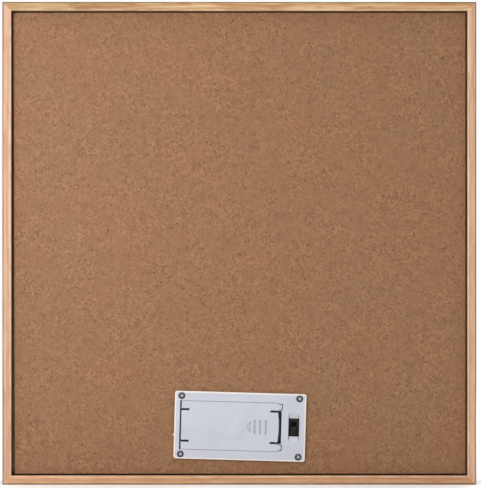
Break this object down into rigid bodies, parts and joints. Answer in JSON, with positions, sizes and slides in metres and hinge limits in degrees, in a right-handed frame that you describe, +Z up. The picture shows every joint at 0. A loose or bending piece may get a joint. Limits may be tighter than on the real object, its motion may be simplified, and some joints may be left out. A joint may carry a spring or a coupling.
{
  "type": "wall clock",
  "caption": "Square wall clock: slim mitred wood frame, open dial with hour lamps, geared quartz movement, hardboard back with battery box and slide switch.",
  "frame": {"origin": "on the wall plane, on the axis of the hands, which is the centre of the square frame", "axes": "+X to the right as the dial is read, +Y from the dial into the wall, +Z up"},
  "size_m": [0.3, 0.036, 0.3056],
  "materials": {
    "frame_wood": "bare softwood, lightly sanded, satin",
    "batten_wood": "rough-sawn softwood",
    "hardboard": "hardboard, fine brown fibre, matt",
    "dial_paint": "painted fibreboard, matt off-white with printed dial",
    "white_plastic": "moulded ABS, fine satin grain",
    "black_plastic": "moulded, satin black",
    "gear_plastic": "natural acetal, satin",
    "bobbin_plastic": "moulded nylon, satin",
    "clear_lens": "clear epoxy with warm phosphor",
    "steel": "zinc-plated",
    "nickel": "nickel-plated",
    "brass": "turned, satin",
    "copper": "tinned and bare copper",
    "winding": "enamelled copper, glossy",
    "magnet": "sintered, matt grey",
    "red_wire": "PVC insulation, satin",
    "black_wire": "PVC insulation, satin",
    "resistor": "coated, semi-gloss",
    "board": "green solder mask",
    "rubber": "matt",
    "cell_jacket": "printed jacket, gloss, no marks",
    "hand_black": "matt black lacquer",
    "hand_red": "satin lacquer"
  },
  "bodies": {
    "case": {"frame_rail_top": "frame_wood", "frame_rail_bottom": "frame_wood", "frame_rail_right": "frame_wood", "frame_rail_left": "frame_wood", "frame_corner_brads": "steel", "inner_batten_top": "batten_wood", "inner_batten_bottom": "batten_wood", "inner_batten_right": "batten_wood", "inner_batten_left": "batten_wood", "back_panel": "hardboard", "dial_board": "dial_paint", "hour_lamps": "clear_lens", "hour_lamp_legs": "copper", "lamp_ring_wires": "copper", "battery_tray": "white_plastic", "battery_box_screws": "steel", "battery_cell_upper": "cell_jacket", "battery_cell_lower": "cell_jacket", "cell_bridge_contact": "nickel", "cell_plus_contact": "nickel", "cell_minus_contact": "nickel", "switch_case": "nickel", "switch_terminals": "nickel", "movement_base": "black_plastic", "movement_cover": "black_plastic", "movement_middle_plate": "gear_plastic", "circuit_board": "board", "quartz_crystal": "nickel", "circuit_chip": "black_plastic", "movement_terminals": "nickel", "coil_core": "steel", "coil_bobbin": "bobbin_plastic", "coil_winding": "winding", "stator_plate": "steel", "movement_rubber_washer": "rubber", "bush_washer": "brass", "bush_nut": "brass", "movement_lead_positive": "red_wire", "movement_lead_negative": "black_wire", "lamp_lead_negative": "black_wire", "lamp_lead_positive": "red_wire", "lamp_resistor": "resistor", "switch_link_wire": "copper"},
    "battery_door": {"battery_door": "white_plastic"},
    "switch_slider": {"switch_slider": "black_plastic", "switch_wiper": "brass"},
    "seconds": {"second_hand": "hand_red", "second_arbor": "steel", "second_wheel": "gear_plastic"},
    "step_wheel": {"step_wheel": "gear_plastic"},
    "rotor": {"rotor_magnet": "magnet", "rotor_pinion": "gear_plastic"},
    "third_wheel": {"third_wheel": "gear_plastic"},
    "centre_wheel": {"centre_wheel": "gear_plastic"},
    "minutes": {"minute_hand": "hand_black", "minute_hand_nut": "brass", "minute_arbor": "brass"},
    "motion_wheel": {"motion_wheel": "gear_plastic"},
    "hours": {"hour_hand": "hand_black", "hour_wheel": "gear_plastic"}
  },
  "joints": [
    {"name": "battery_door_tilt", "type": "hinge", "parent": "case", "child": "battery_door", "pos_m": [0.03759, -0.0036, -0.11504], "axis": [0.0279, 0, -0.9996], "range_deg": [0, 80]},
    {"name": "switch_slide", "type": "slide", "parent": "case", "child": "switch_slider", "axis": [-0.0279, 0, 0.9996], "range_m": [0, 0.0032]},
    {"name": "second_hand_turn", "type": "hinge", "parent": "case", "child": "seconds", "pos_m": [0, 0, 0], "axis": [0, 1, 0], "continuous": true},
    {"name": "step_wheel_turn", "type": "hinge", "parent": "case", "child": "step_wheel", "pos_m": [0.00152, 0, 0.00862], "axis": [0, 1, 0], "continuous": true},
    {"name": "rotor_turn", "type": "hinge", "parent": "case", "child": "rotor", "pos_m": [0.00357, 0, 0.01426], "axis": [0, 1, 0], "continuous": true},
    {"name": "third_wheel_turn", "type": "hinge", "parent": "case", "child": "third_wheel", "pos_m": [-0.00846, 0, -0.00308], "axis": [0, 1, 0], "continuous": true},
    {"name": "centre_wheel_turn", "type": "hinge", "parent": "case", "child": "centre_wheel", "pos_m": [0, 0, 0], "axis": [0, 1, 0], "continuous": true},
    {"name": "minute_hand_turn", "type": "hinge", "parent": "case", "child": "minutes", "pos_m": [0, 0, 0], "axis": [0, 1, 0], "continuous": true},
    {"name": "motion_wheel_turn", "type": "hinge", "parent": "case", "child": "motion_wheel", "pos_m": [0.00902, 0, 0.00328], "axis": [0, 1, 0], "continuous": true},
    {"name": "hour_hand_turn", "type": "hinge", "parent": "case", "child": "hours", "pos_m": [0, 0, 0], "axis": [0, 1, 0], "continuous": true}
  ],
  "couplings": [
    {"joint": "step_wheel_turn", "follows": "second_hand_turn", "ratio": -6},
    {"joint": "rotor_turn", "follows": "second_hand_turn", "ratio": 30},
    {"joint": "third_wheel_turn", "follows": "second_hand_turn", "ratio": -0.125},
    {"joint": "centre_wheel_turn", "follows": "second_hand_turn", "ratio": 0.016667},
    {"joint": "motion_wheel_turn", "follows": "minute_hand_turn", "ratio": -0.33333},
    {"joint": "hour_hand_turn", "follows": "minute_hand_turn", "ratio": 0.083333}
  ]
}
